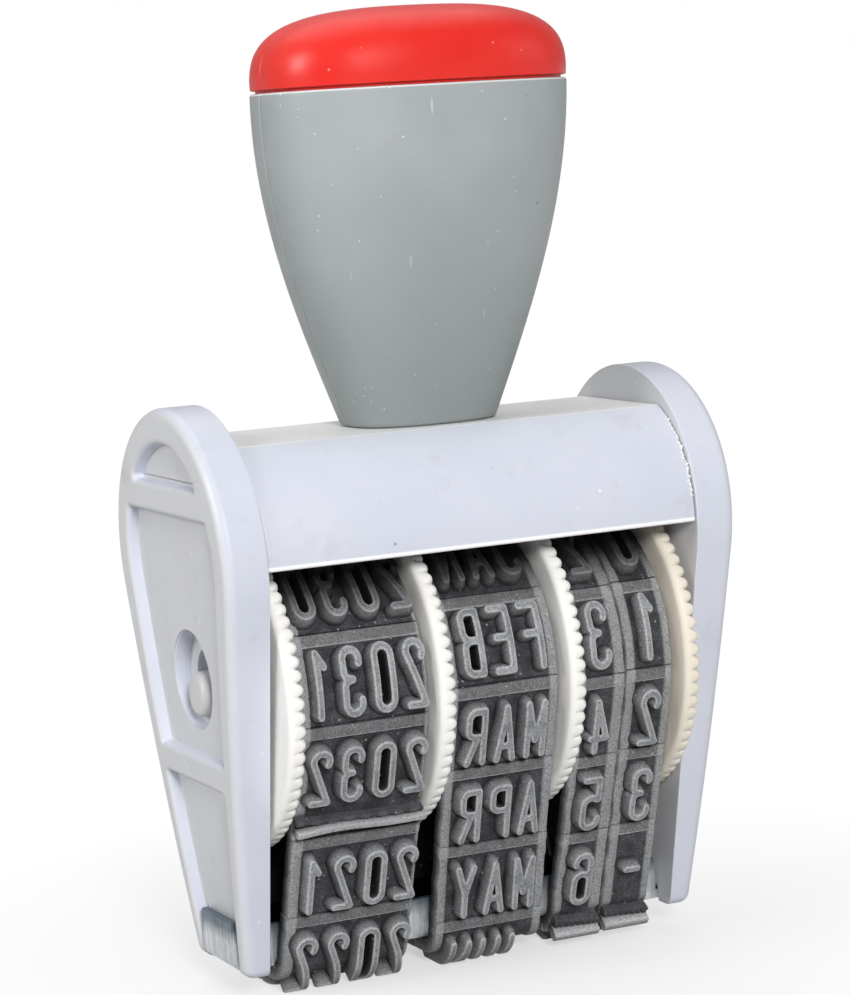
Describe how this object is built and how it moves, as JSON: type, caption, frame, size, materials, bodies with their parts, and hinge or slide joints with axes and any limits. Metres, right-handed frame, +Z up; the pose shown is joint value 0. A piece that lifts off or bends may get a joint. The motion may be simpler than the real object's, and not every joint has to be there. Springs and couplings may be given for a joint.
{
  "type": "date stamp",
  "caption": "Hand-held date stamp with a flared grip, two teardrop end plates and rubber type belts turned by toothed thumb wheels on one axle.",
  "frame": {"origin": "centre of the footprint, on the plane that the type prints on", "axes": "+X along the axle, from the years to the tens; -Y is the front, where the type is read; +Z is up through the grip"},
  "size_m": [0.0406, 0.0234, 0.0703],
  "materials": {
    "frame_plastic": "moulded light lavender grey, satin",
    "grip_plastic": "moulded mid grey, semi-matte, dusty",
    "cap_plastic": "moulded red, semi-gloss",
    "wheel_plastic": "moulded white, satin",
    "wheel_plastic_ivory": "moulded ivory white, satin",
    "type_rubber": "moulded dark grey rubber, worn light along its edges",
    "steel": "bright rolled strip"
  },
  "bodies": {
    "root": {"left_cheek": "frame_plastic", "right_cheek": "frame_plastic", "top_shell": "frame_plastic", "handle_grip": "grip_plastic", "handle_cap": "cap_plastic", "handle_screw": "steel", "handle_washer": "steel", "axle": "wheel_plastic", "anvil": "steel", "year_belt": "type_rubber", "month_belt": "type_rubber", "units_belt": "type_rubber", "tens_belt": "type_rubber"},
    "year_wheel": {"year_wheel": "wheel_plastic"},
    "month_wheel": {"month_wheel": "wheel_plastic"},
    "units_wheel": {"units_wheel": "wheel_plastic"},
    "tens_wheel": {"tens_wheel": "wheel_plastic_ivory"}
  },
  "joints": [
    {"name": "year_turn", "type": "hinge", "parent": "root", "child": "year_wheel", "pos_m": [-0.01, 0, 0.0221], "axis": [1, 0, 0], "continuous": true},
    {"name": "month_turn", "type": "hinge", "parent": "root", "child": "month_wheel", "pos_m": [0, 0, 0.0221], "axis": [1, 0, 0], "continuous": true},
    {"name": "units_turn", "type": "hinge", "parent": "root", "child": "units_wheel", "pos_m": [0.0085, 0, 0.0221], "axis": [1, 0, 0], "continuous": true},
    {"name": "tens_turn", "type": "hinge", "parent": "root", "child": "tens_wheel", "pos_m": [0.0127, 0, 0.0221], "axis": [1, 0, 0], "continuous": true}
  ]
}
